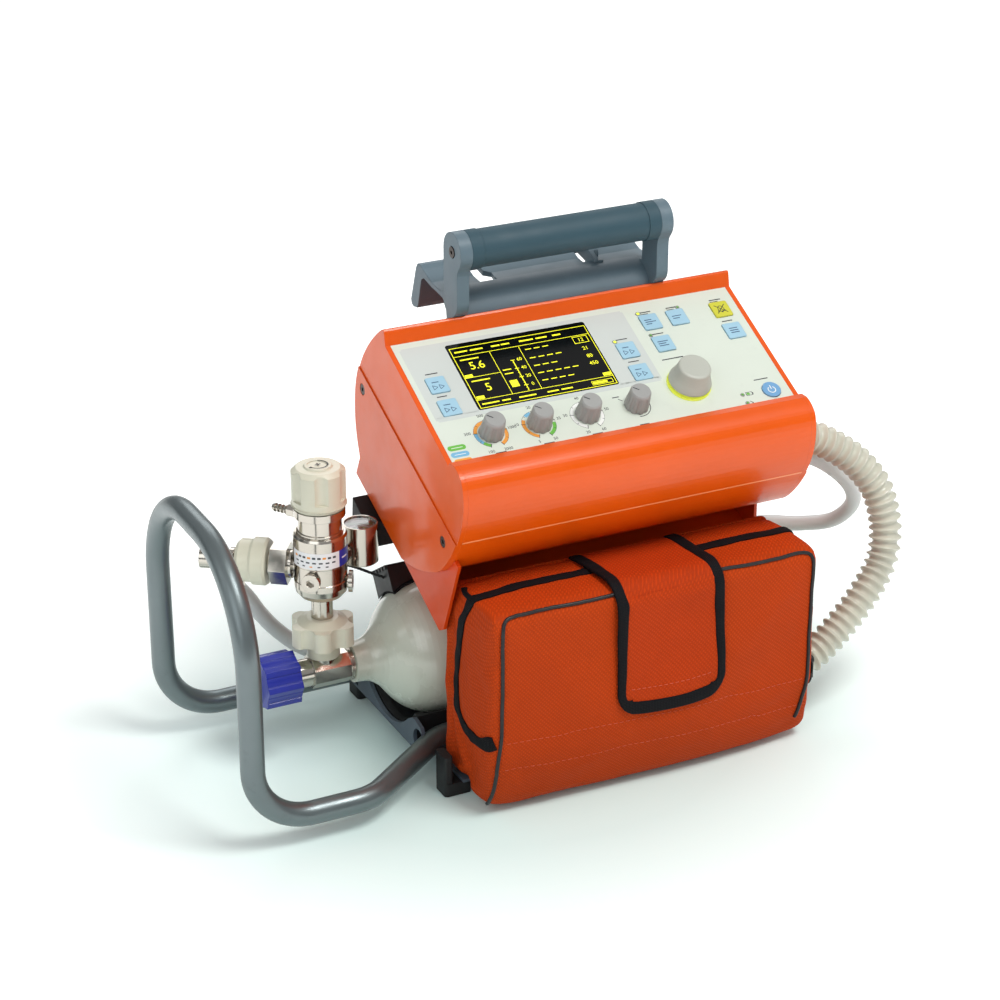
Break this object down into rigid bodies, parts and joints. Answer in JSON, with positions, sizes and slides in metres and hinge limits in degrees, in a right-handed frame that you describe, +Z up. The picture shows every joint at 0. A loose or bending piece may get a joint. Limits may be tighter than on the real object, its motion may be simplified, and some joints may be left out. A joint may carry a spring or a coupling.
{
  "type": "mechanical ventilator",
  "caption": "Portable ventilator with a sloping control panel on a tubular carrier, with a gas cylinder, regulator, hoses, carrying handle and accessory bag.",
  "frame": {"origin": "on the floor plane that the feet stand on, in the middle of the footprint of everything but the loose hoses", "axes": "+X to the user's right along the control panel, +Y to the rear, +Z up"},
  "size_m": [0.5719, 0.2434, 0.3996],
  "materials": {
    "orange_shell": "glossy orange moulded casing",
    "orange_sheet": "orange painted folded sheet",
    "panel_white": "off-white overlay with a grey field",
    "window_black": "dark display window",
    "board_green": "circuit board",
    "key_blue": "light blue membrane key",
    "key_yellow": "yellow membrane key",
    "knob_grey": "grey moulded knob",
    "knob_warm": "warm grey moulded knob",
    "ring_lit": "translucent lit ring",
    "black_plastic": "black moulded plastic",
    "aluminium": "machined aluminium",
    "nickel": "polished nickel plate",
    "steel": "steel",
    "slate_paint": "blue-grey painted casting",
    "grip_slate": "dark slate soft grip",
    "tube_grey": "satin grey coated tube",
    "pan_slate": "blue-grey painted sheet",
    "rubber_black": "black rubber",
    "strap_black": "black woven strap",
    "cylinder_white": "cream white painted steel",
    "cream_plastic": "cream moulded plastic",
    "wheel_blue": "dark blue moulded plastic",
    "dial_white": "printed gauge dial",
    "clear_plastic": "clear window",
    "hose_grey": "grey pressure hose",
    "hose_clear": "translucent corrugated hose",
    "bag_orange": "orange-red woven fabric"
  },
  "bodies": {
    "frame_body": {"casing_shell": "orange_shell", "end_plate_left": "orange_shell", "end_plate_right": "orange_shell", "case_screws": "steel", "front_panel": "panel_white", "display_window": "window_black", "display_module": "board_green", "encoder_ring": "ring_lit", "control_shafts": "steel", "main_board": "board_green", "battery_pack": "black_plastic", "pneumatic_block": "aluminium", "gas_inlet": "nickel", "patient_port": "cream_plastic", "handle_bracket": "slate_paint", "handle_grip": "grip_slate", "rear_rest": "rubber_black", "mount_bracket": "orange_sheet", "guard_tube": "tube_grey", "base_pan": "pan_slate", "base_feet": "rubber_black", "cylinder_cradles": "rubber_black", "cylinder_strap": "strap_black", "strap_buckle": "black_plastic", "gas_cylinder": "cylinder_white", "valve_body": "nickel", "regulator_body": "nickel", "regulator_plugs": "nickel", "nipple": "nickel", "gauge_case": "nickel", "gauge_dial": "dial_white", "gauge_glass": "clear_plastic", "coupling_body": "nickel", "hose_elbow": "nickel", "retaining_cord": "rubber_black", "supply_hose": "hose_grey", "breathing_hose": "hose_clear", "bag_body": "bag_orange"},
    "key_hold_upper_body": {"key_hold_upper": "key_blue"},
    "key_hold_lower_body": {"key_hold_lower": "key_blue"},
    "key_value_upper_body": {"key_value_upper": "key_blue"},
    "key_value_lower_body": {"key_value_lower": "key_blue"},
    "key_mode_1_body": {"key_mode_1": "key_blue"},
    "key_mode_2_body": {"key_mode_2": "key_blue"},
    "key_mode_3_body": {"key_mode_3": "key_blue"},
    "key_alarm_body": {"key_alarm": "key_yellow"},
    "key_menu_body": {"key_menu": "key_blue"},
    "key_power_body": {"key_power": "key_blue"},
    "knob_1_body": {"knob_1": "knob_grey"},
    "knob_2_body": {"knob_2": "knob_grey"},
    "knob_3_body": {"knob_3": "knob_grey"},
    "knob_4_body": {"knob_4": "knob_grey"},
    "encoder_knob_body": {"encoder_knob": "knob_warm"},
    "valve_handwheel_body": {"valve_handwheel": "wheel_blue"},
    "union_handwheel_body": {"union_handwheel": "cream_plastic"},
    "regulator_knob_body": {"regulator_knob": "cream_plastic"},
    "gauge_needle_body": {"gauge_needle": "black_plastic"},
    "coupling_sleeve_body": {"coupling_sleeve": "cream_plastic"},
    "bag_flap_body": {"bag_flap": "bag_orange"},
    "zip_pull_body": {"zip_pull": "black_plastic"}
  },
  "joints": [
    {"name": "key_hold_upper_press", "type": "slide", "parent": "frame_body", "child": "key_hold_upper_body", "axis": [0, -0.4424, 0.8968], "range_m": [-0.0005, 0], "stiffness_N_per_m": 4000},
    {"name": "key_hold_lower_press", "type": "slide", "parent": "frame_body", "child": "key_hold_lower_body", "axis": [0, -0.4424, 0.8968], "range_m": [-0.0005, 0], "stiffness_N_per_m": 4000},
    {"name": "key_value_upper_press", "type": "slide", "parent": "frame_body", "child": "key_value_upper_body", "axis": [0, -0.4424, 0.8968], "range_m": [-0.0005, 0], "stiffness_N_per_m": 4000},
    {"name": "key_value_lower_press", "type": "slide", "parent": "frame_body", "child": "key_value_lower_body", "axis": [0, -0.4424, 0.8968], "range_m": [-0.0005, 0], "stiffness_N_per_m": 4000},
    {"name": "key_mode_1_press", "type": "slide", "parent": "frame_body", "child": "key_mode_1_body", "axis": [0, -0.4424, 0.8968], "range_m": [-0.0005, 0], "stiffness_N_per_m": 4000},
    {"name": "key_mode_2_press", "type": "slide", "parent": "frame_body", "child": "key_mode_2_body", "axis": [0, -0.4424, 0.8968], "range_m": [-0.0005, 0], "stiffness_N_per_m": 4000},
    {"name": "key_mode_3_press", "type": "slide", "parent": "frame_body", "child": "key_mode_3_body", "axis": [0, -0.4424, 0.8968], "range_m": [-0.0005, 0], "stiffness_N_per_m": 4000},
    {"name": "key_alarm_press", "type": "slide", "parent": "frame_body", "child": "key_alarm_body", "axis": [0, -0.4424, 0.8968], "range_m": [-0.0005, 0], "stiffness_N_per_m": 4000},
    {"name": "key_menu_press", "type": "slide", "parent": "frame_body", "child": "key_menu_body", "axis": [0, -0.4424, 0.8968], "range_m": [-0.0005, 0], "stiffness_N_per_m": 4000},
    {"name": "key_power_press", "type": "slide", "parent": "frame_body", "child": "key_power_body", "axis": [0, -0.4424, 0.8968], "range_m": [-0.0005, 0], "stiffness_N_per_m": 4000},
    {"name": "knob_1_turn", "type": "hinge", "parent": "frame_body", "child": "knob_1_body", "pos_m": [-0.0399, -0.0501, 0.28573], "axis": [0, -0.4424, 0.8968], "range_deg": [-208, 108]},
    {"name": "knob_2_turn", "type": "hinge", "parent": "frame_body", "child": "knob_2_body", "pos_m": [-0.0012, -0.0501, 0.28573], "axis": [0, -0.4424, 0.8968], "range_deg": [-208, 108]},
    {"name": "knob_3_turn", "type": "hinge", "parent": "frame_body", "child": "knob_3_body", "pos_m": [0.0383, -0.0501, 0.28573], "axis": [0, -0.4424, 0.8968], "range_deg": [-208, 108]},
    {"name": "knob_4_turn", "type": "hinge", "parent": "frame_body", "child": "knob_4_body", "pos_m": [0.0791, -0.0501, 0.28573], "axis": [0, -0.4424, 0.8968], "range_deg": [-270, 0]},
    {"name": "encoder_turn", "type": "hinge", "parent": "frame_body", "child": "encoder_knob_body", "pos_m": [0.1286, -0.04096, 0.29024], "axis": [0, -0.4424, 0.8968], "continuous": true},
    {"name": "valve_turn", "type": "hinge", "parent": "frame_body", "child": "valve_handwheel_body", "pos_m": [-0.177, 0.0415, 0.0687], "axis": [-1, 0, 0], "range_deg": [0, 540]},
    {"name": "union_turn", "type": "hinge", "parent": "frame_body", "child": "union_handwheel_body", "pos_m": [-0.139, 0.0415, 0.1], "axis": [0, 0, 1], "range_deg": [0, 720]},
    {"name": "regulator_turn", "type": "hinge", "parent": "frame_body", "child": "regulator_knob_body", "pos_m": [-0.139, 0.0415, 0.22], "axis": [0, 0, 1], "range_deg": [0, 270]},
    {"name": "gauge_needle_turn", "type": "hinge", "parent": "frame_body", "child": "gauge_needle_body", "pos_m": [-0.0996, 0.05742, 0.165], "axis": [0, 0, -1], "range_deg": [-135, 135], "stiffness_Nm_per_rad": 0.0005},
    {"name": "coupling_release", "type": "slide", "parent": "frame_body", "child": "coupling_sleeve_body", "axis": [-0.809, 0.5878, 0], "range_m": [-0.002, 0], "stiffness_N_per_m": 2000},
    {"name": "bag_flap_lift", "type": "hinge", "parent": "frame_body", "child": "bag_flap_body", "pos_m": [0.066, -0.0545, 0.172], "axis": [-1, 0, 0], "range_deg": [0, 35]},
    {"name": "zip_pull_swing", "type": "hinge", "parent": "frame_body", "child": "zip_pull_body", "pos_m": [0.2026, -0.1085, 0.068], "axis": [1, 0, 0], "range_deg": [-30, 30]}
  ]
}
